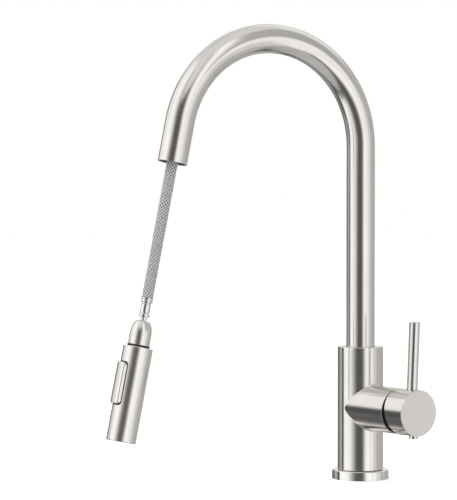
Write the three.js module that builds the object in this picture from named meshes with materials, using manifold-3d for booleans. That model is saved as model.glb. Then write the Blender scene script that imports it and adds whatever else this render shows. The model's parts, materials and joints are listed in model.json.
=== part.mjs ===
// Pull-down kitchen faucet: single-hole body with a side valve and lever, a swivelling gooseneck,
// and a spray head that draws out of the gooseneck's end on a braided hose.
// Millimetres, +Z up. The origin is the centre of the escutcheon's underside, on the deck.
// +X runs along the valve axis to the handle; the gooseneck reaches towards -Y, swung a little to -X.
import * as THREE from 'three';
import { mergeVertices } from 'three/addons/utils/BufferGeometryUtils.js';
import Module from 'manifold-3d';

const wasm = await Module();
wasm.setup();

// ---------- driving dimensions ----------
const RAD = Math.PI / 180;
const GAP = 0.3;                 // clearance between pieces that touch
const ROUND = 24;                // sides of the large round pieces
const SMALL_ROUND = 16;          // sides of the small and the inner round pieces

const SPOUT_SWING = -7.1 * RAD;  // gooseneck's rest direction, from -Y, about +Z

const ESCUTCHEON_R = 28;
const ESCUTCHEON_H = 8.9;
const BODY_R = 22.5;
const BODY_WALL = 4.3;
const BODY_TOP = 130.1;

const SHANK_R = 15.8;
const SHANK_BORE_R = 13.4;
const SHANK_FOOT = -58;
const DECK_GAP = 32;             // free height between the escutcheon and the clamping washer
const CLAMP_R = 27;
const LINE_OFFSET = 9.9;         // water lines' distance from the column axis
const LINE_R = 2.8;
const LINE_FOOT = -66;

const VALVE_Z = 70.7;            // height of the valve axis
const HOUSING_R = 22.3;
const HOUSING_END = 58.3;        // x of the side housing's rim
const VALVE_BORE_R = 18.2;
const CARTRIDGE_R = 17.3;
const HUB_END = 86.8;            // x of the handle hub's flat face
const HUB_WALL = 2.6;
const HUB_RIM_TOP = 58.9;        // x of the hub's slanted rim, at its top and bottom
const HUB_RIM_BOTTOM = 66.1;
const PIVOT_X = 68;              // the handle tilts about +Y here
const LEVER_X = 77.2;            // where the lever's axis crosses the hub's top
const LEVER_R = 5.2;
const LEVER_LENGTH = 65;
const LEVER_LEAN = 3 * RAD;
const PLUG_X = 79.2;             // the set screw's plug, under the hub
const PLUG_R = 4.5;
const TONGUE_Y = 3;              // half thickness of the valve stem's tongue

const TUBE_R = 14;
const TUBE_WALL = 1.4;
const TUBE_FOOT = 89.5;
const ARC_R = 101.74;            // gooseneck centreline
const ARC_START = 327.4;
const ARC_SWEEP = 168.2 * RAD;
const STRAIGHT_END = 40.2;       // from the arc's end to the gooseneck's mouth
const BUSHING_FOOT = 95;

const REST_PULL = 175;           // how far the spray head is drawn out at rest; 0 is docked
const HOSE_R = 5.4;
const HOSE_SPLIT = 95;           // z where the riser hose meets the gooseneck hose
const HOSE_KEEP = 52;            // hose left inside the mouth, above the docked connector
const HOSE_FOOT = -70;

const HEAD_R = 14;
const HEAD_LENGTH = 89.1;
const HEAD_WALL = 1.6;
const DOME_R = 10.2;
const DOME_TOP = 25;             // height of the dome above the head's shoulder
const NECK_R = 3;
const BALL_R = 5.6;
const BALL_UP = 15;
const FERRULE_TOP = 46.8;        // top of the hose's ferrule above the head's shoulder
const TOGGLE_DOWN = 16;          // from the head's shoulder to the toggle's upper end
const TOGGLE_LENGTH = 39;
const TOGGLE_WIDTH = 14.5;
const TOGGLE_PROUD = 2.5;
const TOGGLE_GAP = 0.6;
const TOGGLE_BACK = 11.3;        // the toggle's back face, from the head's axis
const TOGGLE_PIN_Y = 9.4;
const PLUNGER_DROP = 9;          // the diverter plunger, below the toggle's pin

// ---------- finishes ----------
function finish(color, roughness, metalness) {
  return () => new THREE.MeshStandardMaterial({ color, roughness, metalness });
}
const nickel = finish(0xc8c3bc, 0.32, 1);
const polished = finish(0xd6d2cc, 0.18, 1);
const steel = finish(0xb4b2ae, 0.3, 1);
const brass = finish(0xb59a55, 0.4, 1);
const blackRubber = finish(0x1a1a1a, 0.7, 0);
const darkPlastic = finish(0x2a2a2b, 0.55, 0);
const whitePlastic = finish(0xdcdad4, 0.5, 0);
const greyBraid = finish(0x8b8985, 0.6, 0.2);

// ---------- geometry helpers ----------
// Merges shared vertices, drops the flat triangles at a lathe's poles and turns the faces out.
function closed(geometry) {
  const bare = geometry.index ? geometry.clone() : mergeVertices(geometry.clone());
  bare.deleteAttribute('normal');
  bare.deleteAttribute('uv');
  const merged = mergeVertices(bare, 1e-4);
  const index = merged.index.array;
  const position = merged.attributes.position;
  const corner = [new THREE.Vector3(), new THREE.Vector3(), new THREE.Vector3()];
  const kept = [];
  let volume = 0;
  for (let i = 0; i < index.length; i += 3) {
    const [a, b, c] = [index[i], index[i + 1], index[i + 2]];
    if (a === b || b === c || c === a) continue;
    kept.push(a, b, c);
    [a, b, c].forEach((v, k) => corner[k].fromBufferAttribute(position, v));
    volume += corner[0].dot(corner[1].clone().cross(corner[2]));
  }
  if (volume < 0) {
    for (let i = 0; i < kept.length; i += 3) [kept[i], kept[i + 1]] = [kept[i + 1], kept[i]];
  }
  merged.setIndex(kept);
  return merged;
}

function toSolid(geometry) {
  const mesh = closed(geometry);
  return new wasm.Manifold(new wasm.Mesh({
    numProp: 3,
    vertProperties: new Float32Array(mesh.attributes.position.array),
    triVerts: new Uint32Array(mesh.index.array),
  }));
}

function fromSolid(solid) {
  const mesh = solid.getMesh();
  const geometry = new THREE.BufferGeometry();
  geometry.setAttribute('position', new THREE.BufferAttribute(mesh.vertProperties, 3));
  geometry.setIndex(new THREE.BufferAttribute(mesh.triVerts, 1));
  return geometry;
}

function join(first, ...rest) {
  return fromSolid(rest.reduce((sum, g) => sum.add(toSolid(g)), toSolid(first)));
}

function cut(first, ...tools) {
  return fromSolid(tools.reduce((left, g) => left.subtract(toSolid(g)), toSolid(first)));
}

// A body of revolution about +Z from [radius, height] points; the profile starts and ends on the axis
// or closes on itself.
function turned(points, sides = ROUND) {
  const profile = points.map(([r, z]) => new THREE.Vector2(r, z));
  return closed(new THREE.LatheGeometry(profile, sides).rotateX(90 * RAD));
}

function rod(radius, low, high, sides = ROUND) {
  return turned([[0, low], [radius, low], [radius, high], [0, high]], sides);
}

function ring(inner, outer, low, high, sides = ROUND) {
  return turned([[inner, low], [outer, low], [outer, high], [inner, high], [inner, low]], sides);
}

function block(x0, x1, y0, y1, z0, z1) {
  const box = new THREE.BoxGeometry(x1 - x0, y1 - y0, z1 - z0);
  return box.translate((x0 + x1) / 2, (y0 + y1) / 2, (z0 + z1) / 2);
}

// Turns a body built along +Z so that it runs along +X, through the height z.
function alongX(geometry, z = VALVE_Z) {
  return geometry.clone().rotateY(90 * RAD).translate(0, 0, z);
}

function alongY(geometry) {
  return geometry.clone().rotateX(-90 * RAD);
}

// Points of a quarter-like curve from (r0, z0) to (r1, z1): an ellipse that leaves the first point
// along +Z and meets the second along the radius.
function shoulder(r0, z0, r1, z1, steps) {
  const points = [];
  for (let i = 0; i <= steps; i++) {
    const a = (i / steps) * 90 * RAD;
    points.push([r1 + (r0 - r1) * Math.cos(a), z0 + (z1 - z0) * Math.sin(a)]);
  }
  return points;
}

// ---------- the gooseneck's centreline ----------
// Up the column, over the arc, then straight down the outlet leg. In the spout's own frame it reaches -Y.
class Gooseneck extends THREE.Curve {
  constructor(foot, endBeforeMouth) {
    super();
    this.rise = ARC_START - foot;
    this.foot = foot;
    this.length = this.rise + ARC_R * ARC_SWEEP + STRAIGHT_END - endBeforeMouth;
  }

  getPoint(t) {
    const s = t * this.length;
    if (s <= this.rise) return new THREE.Vector3(0, 0, this.foot + s);
    const turn = Math.min((s - this.rise) / ARC_R, ARC_SWEEP);
    const past = s - this.rise - turn * ARC_R;
    const reach = ARC_R * (1 - Math.cos(turn)) + past * Math.sin(turn);
    const height = ARC_START + ARC_R * Math.sin(turn) + past * Math.cos(turn);
    return new THREE.Vector3(0, -reach, height);
  }
}

function circle(radius, sides, Kind = THREE.Shape) {
  const points = [];
  for (let i = 0; i < sides; i++) {
    const a = (i / sides) * 360 * RAD;
    points.push(new THREE.Vector2(radius * Math.cos(a), radius * Math.sin(a)));
  }
  return new Kind(points);
}

function sweep(path, outer, inner, sides, steps) {
  const section = circle(outer, sides);
  if (inner > 0) section.holes.push(circle(inner, sides, THREE.Path));
  return closed(new THREE.ExtrudeGeometry(section, { steps, extrudePath: path, bevelEnabled: false }));
}

// ---------- assembly ----------
const faucet = new THREE.Group();
const spout = new THREE.Group();
spout.rotation.z = SPOUT_SWING;
faucet.add(spout);

const mouthPoint = new Gooseneck(TUBE_FOOT, 0).getPoint(1);
const mouth = new THREE.Group();          // local +Z runs back up into the gooseneck
mouth.position.copy(mouthPoint);
mouth.rotation.x = ARC_SWEEP - 180 * RAD;
spout.add(mouth);
const head = new THREE.Group();           // origin at the head's shoulder, +Z up the hose
head.position.z = -REST_PULL;
mouth.add(head);

function add(parent, name, geometry, material) {
  const mesh = new THREE.Mesh(geometry, material());
  mesh.name = name;
  parent.add(mesh);
}

// ---------- deck fixing ----------
function deckFixing() {
  const recess = { inner: 20, outer: 25, depth: 1.3 };
  add(faucet, 'escutcheon', turned([
    [17.3, 0], [recess.inner, 0], [recess.inner, recess.depth], [recess.outer, recess.depth],
    [recess.outer, 0], [ESCUTCHEON_R, 0], [ESCUTCHEON_R, ESCUTCHEON_H - 1.2],
    [ESCUTCHEON_R - 1.2, ESCUTCHEON_H], [17.3, ESCUTCHEON_H], [17.3, 0],
  ]), polished);
  add(faucet, 'escutcheon_seal',
    ring(recess.inner + GAP, recess.outer - GAP, 0, recess.depth - GAP), blackRubber);
  add(faucet, 'mounting_shank', ring(SHANK_BORE_R, SHANK_R, SHANK_FOOT, 23.6), brass);

  const rubberTop = -DECK_GAP;
  const steelTop = rubberTop - 3 - GAP;
  const nutTop = steelTop - 2 - GAP;
  const nutFoot = nutTop - 10;
  add(faucet, 'deck_washer_rubber', ring(SHANK_R + 0.6, CLAMP_R, rubberTop - 3, rubberTop), blackRubber);
  add(faucet, 'deck_washer_steel', ring(SHANK_R + 0.6, CLAMP_R, steelTop - 2, steelTop), steel);

  const screwX = 21;
  const holes = [-screwX, screwX].map((x) => rod(2.8, nutFoot - 1, nutTop + 1, 12).translate(x, 0, 0));
  add(faucet, 'mounting_nut', cut(ring(SHANK_R + 0.4, 26, nutFoot, nutTop), ...holes), brass);
  const screw = [[0, nutFoot - 6], [3.9, nutFoot - 6], [3.9, nutFoot - 2.5], [2.4, nutFoot - 2.5],
    [2.4, nutTop], [0, nutTop]];
  add(faucet, 'jack_screw_left', turned(screw, 12).translate(-screwX, 0, 0), steel);
  add(faucet, 'jack_screw_right', turned(screw, 12).translate(screwX, 0, 0), steel);
}

// ---------- body, water lines and core ----------
function waterLine(name, x, y) {
  const collar = 4.2;
  const line = turned([
    [1.6, LINE_FOOT], [collar, LINE_FOOT], [collar, LINE_FOOT + 7], [LINE_R, LINE_FOOT + 7],
    [LINE_R, 34], [1.6, 34], [1.6, LINE_FOOT],
  ], 12);
  add(faucet, name, line.translate(x, y, 0), brass);
}

function body() {
  const bore = BODY_R - BODY_WALL;
  const column = turned([
    [0, ESCUTCHEON_H + GAP], [BODY_R, ESCUTCHEON_H + GAP], [BODY_R, BODY_TOP - 1],
    [BODY_R - 1, BODY_TOP], [0, BODY_TOP],
  ]);
  const housing = alongX(turned([
    [0, 0], [HOUSING_R, 0], [HOUSING_R, HOUSING_END - 0.6], [HOUSING_R - 0.6, HOUSING_END],
    [0, HOUSING_END],
  ]));
  add(faucet, 'body_shell', cut(
    join(column, housing),
    rod(bore, ESCUTCHEON_H - 1, BODY_TOP - 5),
    rod(TUBE_R + 0.5, BODY_TOP - 6, BODY_TOP + 1),
    alongX(rod(VALVE_BORE_R, -1, HOUSING_END + 1)),
  ), nickel);

  const coreFoot = 24;
  const coreTop = 84;
  const boss = 26.5;
  const coreR = bore - 0.4;
  const sockets = [[-LINE_OFFSET, 0], [LINE_OFFSET, 0], [0, LINE_OFFSET]]
    .map(([x, y]) => rod(LINE_R + GAP, coreFoot - 1, 36, 12).translate(x, y, 0));
  add(faucet, 'waterway_core', cut(
    join(rod(coreR, coreFoot, coreTop), alongX(rod(coreR, 0, boss))),
    rod(HOSE_R + 0.5, coreFoot - 1, TUBE_FOOT, 12),
    ...sockets,
  ), brass);
  waterLine('hot_inlet_line', -LINE_OFFSET, 0);
  waterLine('cold_inlet_line', LINE_OFFSET, 0);
  waterLine('outlet_line', 0, LINE_OFFSET);

  add(faucet, 'swivel_bushing', turned([
    [TUBE_R + 0.4, BUSHING_FOOT], [bore - GAP, BUSHING_FOOT], [bore - GAP, BODY_TOP - 5.4],
    [TUBE_R + 0.4, BODY_TOP - 5.4], [TUBE_R + 0.4, 118.6], [15.8, 118.6], [15.8, 115.4],
    [TUBE_R + 0.4, 115.4], [TUBE_R + 0.4, 102.6], [15.8, 102.6], [15.8, 99.4],
    [TUBE_R + 0.4, 99.4], [TUBE_R + 0.4, BUSHING_FOOT],
  ]), whitePlastic);
  add(faucet, 'swivel_o_ring_lower', ring(TUBE_R + GAP, 15.5, 99.8, 102.2), blackRubber);
  add(faucet, 'swivel_o_ring_upper', ring(TUBE_R + GAP, 15.5, 115.8, 118.2), blackRubber);
  add(faucet, 'hose_riser', sweep(
    new THREE.LineCurve3(new THREE.Vector3(0, 0, HOSE_FOOT), new THREE.Vector3(0, 0, HOSE_SPLIT)),
    HOSE_R, 3.2, 10, 4), greyBraid);
  add(faucet, 'hose_foot_connector', turned([
    [3.2, HOSE_FOOT - 18], [5, HOSE_FOOT - 18], [5, HOSE_FOOT - 12], [7.5, HOSE_FOOT - 11],
    [7.5, HOSE_FOOT - GAP], [3.2, HOSE_FOOT - GAP], [3.2, HOSE_FOOT - 18],
  ], SMALL_ROUND), polished);
}

// ---------- valve ----------
function valve() {
  add(faucet, 'cartridge_seal', alongX(ring(8, 15, 26.8, 28)), blackRubber);
  add(faucet, 'cartridge_body', alongX(turned([
    [0, 28.3], [CARTRIDGE_R, 28.3], [CARTRIDGE_R, 48], [14.5, 50], [9, 50], [9, 46], [0, 46],
  ])), whitePlastic);
  add(faucet, 'cartridge_nut', alongX(ring(11.5, VALVE_BORE_R - GAP, 50.3, 55.5)), brass);
  const ball = 18.3;                        // the dome stays inside this sphere about the pivot
  const dome = [56, 57.5, 59, 60.5, 62, 63].map((x) => [Math.sqrt(ball ** 2 - (x - PIVOT_X) ** 2), x]);
  add(faucet, 'bonnet', alongX(turned([[8.2, 56], ...dome, [8.2, 63], [8.2, 56]])), darkPlastic);

  const tongue = block(62, 72, -TONGUE_Y, TONGUE_Y, VALVE_Z - 5, VALVE_Z + 5);
  const pinHole = alongY(rod(1.8, -8, 8, 12)).translate(PIVOT_X, 0, VALVE_Z);
  add(faucet, 'cartridge_stem', cut(join(alongX(rod(6.5, 46.3, 62.8, SMALL_ROUND)), tongue), pinHole), steel);
}

// ---------- handle ----------
function handle() {
  const shell = alongX(turned([
    [0, HUB_RIM_TOP - 3], [HOUSING_R, HUB_RIM_TOP - 3], [HOUSING_R, HUB_END - 0.9],
    [HOUSING_R - 0.9, HUB_END], [0, HUB_END],
  ]));
  const cavityR = HOUSING_R - HUB_WALL;
  const rimAngle = Math.atan2(HUB_RIM_BOTTOM - HUB_RIM_TOP, 2 * HOUSING_R);
  const rimMiddle = (HUB_RIM_BOTTOM + HUB_RIM_TOP) / 2;
  const rimTool = new THREE.BoxGeometry(40, 80, 80).translate(-20, 0, 0)
    .rotateY(-rimAngle).translate(rimMiddle, 0, VALVE_Z);
  const leverHole = leverRod(LEVER_R + GAP, -12, 6);
  const plugHole = rod(PLUG_R + 0.3, -HOUSING_R - 3, -HOUSING_R / 2, 12).translate(PLUG_X, 0, VALVE_Z);
  add(faucet, 'handle_hub', cut(
    shell, alongX(rod(cavityR, HUB_RIM_TOP - 5, HUB_END - 2.8)), rimTool, leverHole, plugHole,
  ), nickel);

  const insertR = cavityR - GAP;
  const disc = alongX(turned([
    [0, 69.8], [12, 69.8], [insertR, 70.4], [insertR, HUB_END - 3.1], [0, HUB_END - 3.1],
  ]));
  const cheeks = block(64.8, 71, -9, 9, VALVE_Z - 5, VALVE_Z + 5);
  const slot = block(60, 75.4, -TONGUE_Y - 0.4, TONGUE_Y + 0.4, VALVE_Z - 25, VALVE_Z + 25);
  const pinHole = alongY(rod(1.8, -12, 12, 12)).translate(PIVOT_X, 0, VALVE_Z);
  const screwHole = rod(2.8, -insertR - 1, -8, 12).translate(PLUG_X, 0, VALVE_Z);
  add(faucet, 'hub_insert', cut(
    join(disc, cheeks), slot, pinHole, screwHole, leverRod(LEVER_R + GAP, -12.3, 6),
  ), steel);
  add(faucet, 'handle_pivot_pin', alongY(rod(1.5, -8.8, 8.8, 12)).translate(PIVOT_X, 0, VALVE_Z), steel);
  add(faucet, 'handle_set_screw', rod(2.5, -18, -8.4, 12).translate(PLUG_X, 0, VALVE_Z), steel);
  add(faucet, 'handle_screw_plug', turned([
    [0, -HOUSING_R - 2.8], [PLUG_R - 1, -HOUSING_R - 2.8], [PLUG_R, -HOUSING_R - 1.8],
    [PLUG_R, -HOUSING_R + 2.2], [0, -HOUSING_R + 2.2],
  ], SMALL_ROUND).translate(PLUG_X, 0, VALVE_Z), nickel);
  add(faucet, 'lever_rod', leverRod(LEVER_R, -12, LEVER_LENGTH, 0.8), nickel);
}

// The lever's rod, from low to high above the hub's top, with an edge broken at its end.
function leverRod(radius, low, high, edge = 0) {
  const shape = turned([[0, low], [radius, low], [radius, high - edge], [radius - edge, high], [0, high]],
    SMALL_ROUND);
  return shape.rotateY(LEVER_LEAN).translate(LEVER_X, 0, VALVE_Z + HOUSING_R);
}

// ---------- gooseneck ----------
function gooseneck() {
  add(spout, 'spout_tube',
    sweep(new Gooseneck(TUBE_FOOT, 0), TUBE_R, TUBE_R - TUBE_WALL, 18, 42), nickel);
  add(spout, 'spout_retaining_ring', ring(TUBE_R + GAP, 17.4, 90.5, 94), steel);
  add(spout, 'hose_gooseneck',
    sweep(new Gooseneck(HOSE_SPLIT + GAP, HOSE_KEEP), HOSE_R, 3.2, 8, 20), greyBraid);
  add(mouth, 'dock_insert', ring(11.2, TUBE_R - TUBE_WALL - GAP, 0.6, 18), darkPlastic);
}

// ---------- hose end ----------
function hoseEnd() {
  const low = new THREE.Vector3(0, 0, FERRULE_TOP + GAP);
  const high = new THREE.Vector3(0, 0, REST_PULL + HOSE_KEEP - 3 * GAP);
  add(head, 'hose_exposed', sweep(new THREE.LineCurve3(high, low), HOSE_R, 3.2, 10, 6), greyBraid);
  add(head, 'hose_ferrule', turned([
    [3.2, 42.3], [5.2, 42.3], [5.7, 42.8], [5.7, FERRULE_TOP], [3.2, FERRULE_TOP], [3.2, 42.3],
  ], SMALL_ROUND), polished);
  add(head, 'hose_connector', turned([
    [1.9, 28.8], [5.3, 28.8], [5.3, 31.2], [4.6, 31.6], [4.6, 42], [1.9, 42], [1.9, 28.8],
  ], SMALL_ROUND), polished);
  const ballTop = BALL_UP + Math.sqrt(BALL_R ** 2 - NECK_R ** 2);
  const ball = [-60, -30, 0, 30].map((a) => [BALL_R * Math.cos(a * RAD), BALL_UP + BALL_R * Math.sin(a * RAD)]);
  add(head, 'ball_stem', turned([
    [1.6, BALL_UP - BALL_R + 0.6], ...ball, [NECK_R, ballTop], [NECK_R, 28.5], [1.6, 28.5],
    [1.6, BALL_UP - BALL_R + 0.6],
  ], SMALL_ROUND), polished);
}

// ---------- spray head ----------
function sprayHead() {
  const sink = -6;                          // the dome's skirt inside the head
  add(head, 'ball_joint_dome', turned([
    [8.2, sink], [DOME_R, sink], [DOME_R, 0.3], [DOME_R - 0.9, 0.3], [DOME_R - 0.9, 2.3],
    ...shoulder(DOME_R, 11, 5.2, DOME_TOP, 6),
    [4.3, DOME_TOP], ...shoulder(8.2, 11, 4.3, DOME_TOP - 2.2, 4).reverse(), [8.2, sink],
  ]), polished);
  add(head, 'dock_o_ring', ring(DOME_R - 0.6, DOME_R + 0.55, 0.45, 2.1), blackRubber);
  add(head, 'ball_seat', ring(3.6, 7.9, 2.5, 7.5, SMALL_ROUND), whitePlastic);

  const toggleTop = -TOGGLE_DOWN;
  const toggleFoot = -TOGGLE_DOWN - TOGGLE_LENGTH;
  const toggleMiddle = (toggleTop + toggleFoot) / 2;
  const bore = HEAD_R - HEAD_WALL;
  const shell = turned([
    [DOME_R + 0.5, 0], [HEAD_R - 0.5, 0], [HEAD_R, -0.5], [HEAD_R, -HEAD_LENGTH + 1.2],
    [HEAD_R - 1.2, -HEAD_LENGTH], [bore - 0.2, -HEAD_LENGTH], [bore, -HEAD_LENGTH + 1], [bore, -2.4],
    [DOME_R + 0.5, -2.4], [DOME_R + 0.5, 0],
  ]);
  const window = plate(TOGGLE_WIDTH + 2 * TOGGLE_GAP, TOGGLE_LENGTH + 2 * TOGGLE_GAP, 5.1, 5, 25)
    .translate(0, 0, toggleMiddle);
  add(head, 'head_shell', cut(shell, window), nickel);

  const coreR = bore - GAP;
  const flat = block(-20, 20, -20, -8.6, toggleFoot - 2, toggleTop + 2);
  const lugSlot = block(-3.4, 3.4, -12, -6.4, toggleMiddle - 4, toggleMiddle + 4);
  const pinSeat = block(-6.3, 6.3, -TOGGLE_PIN_Y - 1.3, -TOGGLE_PIN_Y + 1.3, toggleMiddle - 1.3, toggleMiddle + 1.3);
  const plungerHole = alongY(rod(2.3, -16, -5, 12)).translate(0, 0, toggleMiddle - PLUNGER_DROP);
  add(head, 'head_core', cut(
    turned([[4.5, -81], [coreR, -81], [coreR, -7], [4.5, -7], [4.5, -81]]),
    flat, lugSlot, pinSeat, plungerHole,
  ), whitePlastic);
  add(head, 'check_valve', ring(1.8, 4.2, -16, -7.6, 12), whitePlastic);
  add(head, 'spray_face', ring(7, coreR, -88.3, -84.5, ROUND), darkPlastic);
  add(head, 'aerator', turned([
    [0, -88.6], [6.2, -88.6], [6.7, -88.1], [6.7, -84], [0, -84],
  ], SMALL_ROUND), polished);
  add(head, 'flow_plate', ring(2.5, coreR, -83.7, -81.4, ROUND), whitePlastic);

  // The toggle follows the head's roundness, stands proud of it and rocks about its pin.
  const outer = rod(HEAD_R + TOGGLE_PROUD, toggleFoot - 1, toggleTop + 1, 48);
  const cap = fromSolid(toSolid(plate(TOGGLE_WIDTH, TOGGLE_LENGTH, 4.5, TOGGLE_BACK, 22)
    .translate(0, 0, toggleMiddle)).intersect(toSolid(outer)));
  const lug = block(-3, 3, -TOGGLE_BACK - 0.5, -TOGGLE_PIN_Y + 2.4, toggleMiddle - 2.4, toggleMiddle + 2.4);
  const lugHole = rod(1.3, -6, 6, 12).rotateY(90 * RAD).translate(0, -TOGGLE_PIN_Y, toggleMiddle);
  add(head, 'toggle_button', cut(join(cap, lug), lugHole), nickel);
  add(head, 'toggle_pin', rod(1, -6, 6, 12).rotateY(90 * RAD).translate(0, -TOGGLE_PIN_Y, toggleMiddle), steel);
  add(head, 'diverter_plunger',
    alongY(rod(2, -TOGGLE_BACK + GAP, -6, 12)).translate(0, 0, toggleMiddle - PLUNGER_DROP), whitePlastic);
}

// A round-cornered plate in the XZ plane, centred on the origin, from y = -near to y = -far.
function plate(width, height, corner, near, far) {
  const [w, h] = [width / 2, height / 2];
  const outline = new THREE.Shape();
  outline.moveTo(-w + corner, -h);
  outline.lineTo(w - corner, -h);
  outline.absarc(w - corner, -h + corner, corner, -90 * RAD, 0, false);
  outline.absarc(w - corner, h - corner, corner, 0, 90 * RAD, false);
  outline.absarc(-w + corner, h - corner, corner, 90 * RAD, 180 * RAD, false);
  outline.absarc(-w + corner, -h + corner, corner, 180 * RAD, 270 * RAD, false);
  const body = new THREE.ExtrudeGeometry(outline, { depth: far - near, bevelEnabled: false, curveSegments: 4 });
  return closed(body.rotateX(90 * RAD).translate(0, -near, 0));
}

deckFixing();
body();
valve();
handle();
gooseneck();
hoseEnd();
sprayHead();

export default faucet;
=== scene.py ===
"""Looks of the pull-down kitchen faucet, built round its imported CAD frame. Metres, +Z up."""

import json
import math

import bmesh
import bpy
import numpy as np
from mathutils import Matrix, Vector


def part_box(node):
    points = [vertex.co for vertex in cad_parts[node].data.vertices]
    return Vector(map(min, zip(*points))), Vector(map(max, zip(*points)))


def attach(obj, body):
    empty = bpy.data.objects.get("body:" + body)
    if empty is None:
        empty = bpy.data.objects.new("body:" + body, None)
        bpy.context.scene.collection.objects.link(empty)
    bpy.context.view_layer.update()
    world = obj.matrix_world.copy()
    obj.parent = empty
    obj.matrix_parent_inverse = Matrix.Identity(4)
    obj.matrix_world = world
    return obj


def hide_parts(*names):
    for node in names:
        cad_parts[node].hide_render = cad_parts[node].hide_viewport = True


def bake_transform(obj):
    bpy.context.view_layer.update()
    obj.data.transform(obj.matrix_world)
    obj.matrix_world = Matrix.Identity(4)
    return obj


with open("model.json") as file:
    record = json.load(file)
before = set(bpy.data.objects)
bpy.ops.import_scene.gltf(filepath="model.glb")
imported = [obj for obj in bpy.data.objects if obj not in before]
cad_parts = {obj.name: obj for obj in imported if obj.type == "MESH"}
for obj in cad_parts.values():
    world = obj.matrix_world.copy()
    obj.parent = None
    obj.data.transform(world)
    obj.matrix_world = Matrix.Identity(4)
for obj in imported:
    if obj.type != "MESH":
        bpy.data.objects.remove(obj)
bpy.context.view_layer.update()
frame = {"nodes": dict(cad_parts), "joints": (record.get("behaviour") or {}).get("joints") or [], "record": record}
JOINT = {j["name"]: j for j in frame["joints"]}
MM = 0.001
FULL = 2 * math.pi

# ---------------------------------------------------------------- camera
CAMERA_AZIMUTH = math.radians(50.12)   # from -Y towards +X
CAMERA_RANGE = 2.1078                  # from the column's axis, on the level
CAMERA_HEIGHT = 0.2772
CAMERA_YAW = math.radians(3.54)        # turned left of the column
CAMERA_PITCH = math.radians(1.42)      # downwards
LENS_MM = 153.8


def make_camera():
    camera = bpy.data.objects.new("camera", bpy.data.cameras.new("camera"))
    bpy.context.scene.collection.objects.link(camera)
    camera.data.lens = LENS_MM
    camera.data.sensor_width = 36
    camera.data.clip_end = 100
    camera.location = (
        CAMERA_RANGE * math.sin(CAMERA_AZIMUTH),
        -CAMERA_RANGE * math.cos(CAMERA_AZIMUTH),
        CAMERA_HEIGHT,
    )
    camera.rotation_euler = (math.pi / 2 - CAMERA_PITCH, 0, CAMERA_AZIMUTH + CAMERA_YAW)
    bpy.context.scene.camera = camera


make_camera()


# ---------------------------------------------------------------- places, read from the frame
def read(items, key, width=3, kind=float):
    """One value of every vertex, corner or face of a mesh."""
    values = np.zeros(len(items) * width, kind)
    items.foreach_get(key, values)
    return values.reshape(-1, width) if width > 1 else values


def points_of(node):
    return read(frame["nodes"][node].data.vertices, "co")


class Line:
    """A straight axis: at(z) gives the centre there and the two directions square to it."""

    def __init__(self, origin, along, side):
        self.origin = np.array(origin, float)
        self.z = np.array(along, float) / np.linalg.norm(along)
        side = np.array(side, float) - self.z * np.dot(side, self.z)
        self.x = side / np.linalg.norm(side)
        self.y = np.cross(self.z, self.x)

    def at(self, z):
        return self.origin + self.z * z, self.x, self.y

    def point(self, x, y, z):
        return self.origin + self.x * x + self.y * y + self.z * z

    def moved(self, z):
        return Line(self.origin + self.z * z, self.z, self.x)

    def local(self, points):
        away = np.asarray(points, float) - self.origin
        return np.stack([away @ self.x, away @ self.y, away @ self.z], axis=-1)

    def span(self, node):
        """The node's lowest and highest place along the axis."""
        z = self.local(points_of(node))[:, 2]
        return float(z.min()), float(z.max())

    def radii(self, node):
        """The node's least and greatest distance from the axis."""
        spots = self.local(points_of(node))
        r = np.hypot(spots[:, 0], spots[:, 1])
        return float(r.min()), float(r.max())

    def low(self, node):
        return self.span(node)[0]

    def high(self, node):
        return self.span(node)[1]

    def inner(self, node):
        return self.radii(node)[0]

    def outer(self, node):
        return self.radii(node)[1]


class Gooseneck:
    """The tube's centreline: up the column, over an arc, down a leg. z is the length along it."""

    def __init__(self, arc_radius, mouth_point, down, foot):
        self.sweep = math.acos(down[2])
        self.radius = arc_radius
        reach = math.hypot(mouth_point[0], mouth_point[1])
        self.out = np.array([mouth_point[0], mouth_point[1], 0]) / reach
        sine, cosine = math.sin(self.sweep), math.cos(self.sweep)
        self.leg = (reach - arc_radius * (1 - cosine)) / sine
        self.start = mouth_point[2] - arc_radius * sine - self.leg * cosine
        self.rise = self.start - foot
        self.length = self.rise + arc_radius * self.sweep + self.leg
        self.side = np.cross(self.out, np.array([0, 0, 1.0]))

    def at(self, z):
        turn = min(max((z - self.rise) / self.radius, 0), self.sweep)
        past = z - self.rise - turn * self.radius
        reach = self.radius * (1 - math.cos(turn)) + past * math.sin(turn)
        height = self.start + self.radius * math.sin(turn) + past * math.cos(turn)
        along = self.out * math.sin(turn) + np.array([0, 0, math.cos(turn)])
        centre = self.out * reach + np.array([0, 0, height])
        return centre, self.side, np.cross(along, self.side)


def upright(x, y):
    """The upright line through a place on the deck. Its z is the height above the deck."""
    return Line((x, y, 0), (0, 0, 1), (1, 0, 0))


def upright_through(node):
    """The upright line through the middle of a node."""
    low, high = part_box(node)
    middle = (low + high) / 2
    return upright(middle.x, middle.y)


column = upright(0, 0)
valve = Line((0, 0, JOINT["handle_temperature"]["pos_m"][2]), (1, 0, 0), (0, 0, 1))
pull = np.array(JOINT["pull_out"]["axis"], float)
ball_line = Line(JOINT["head_spin"]["pos_m"], -pull, JOINT["toggle_rock"]["axis"])
head = ball_line.moved(ball_line.high("head_shell"))     # z = 0 at the head's shoulder, +z up the hose
MOUTH_RECESS = 0.6 * MM                                  # the dock insert starts this far inside the mouth
mouth = head.moved(head.low("dock_insert") - MOUTH_RECESS)

TUBE_R = 14 * MM
TUBE_WALL = 1.4 * MM
ARC_R = 101.74 * MM
MOUTH_SEAM = 0.3 * MM         # left open when the head is docked
gooseneck = Gooseneck(ARC_R, mouth.origin, pull, column.low("spout_tube"))


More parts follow.
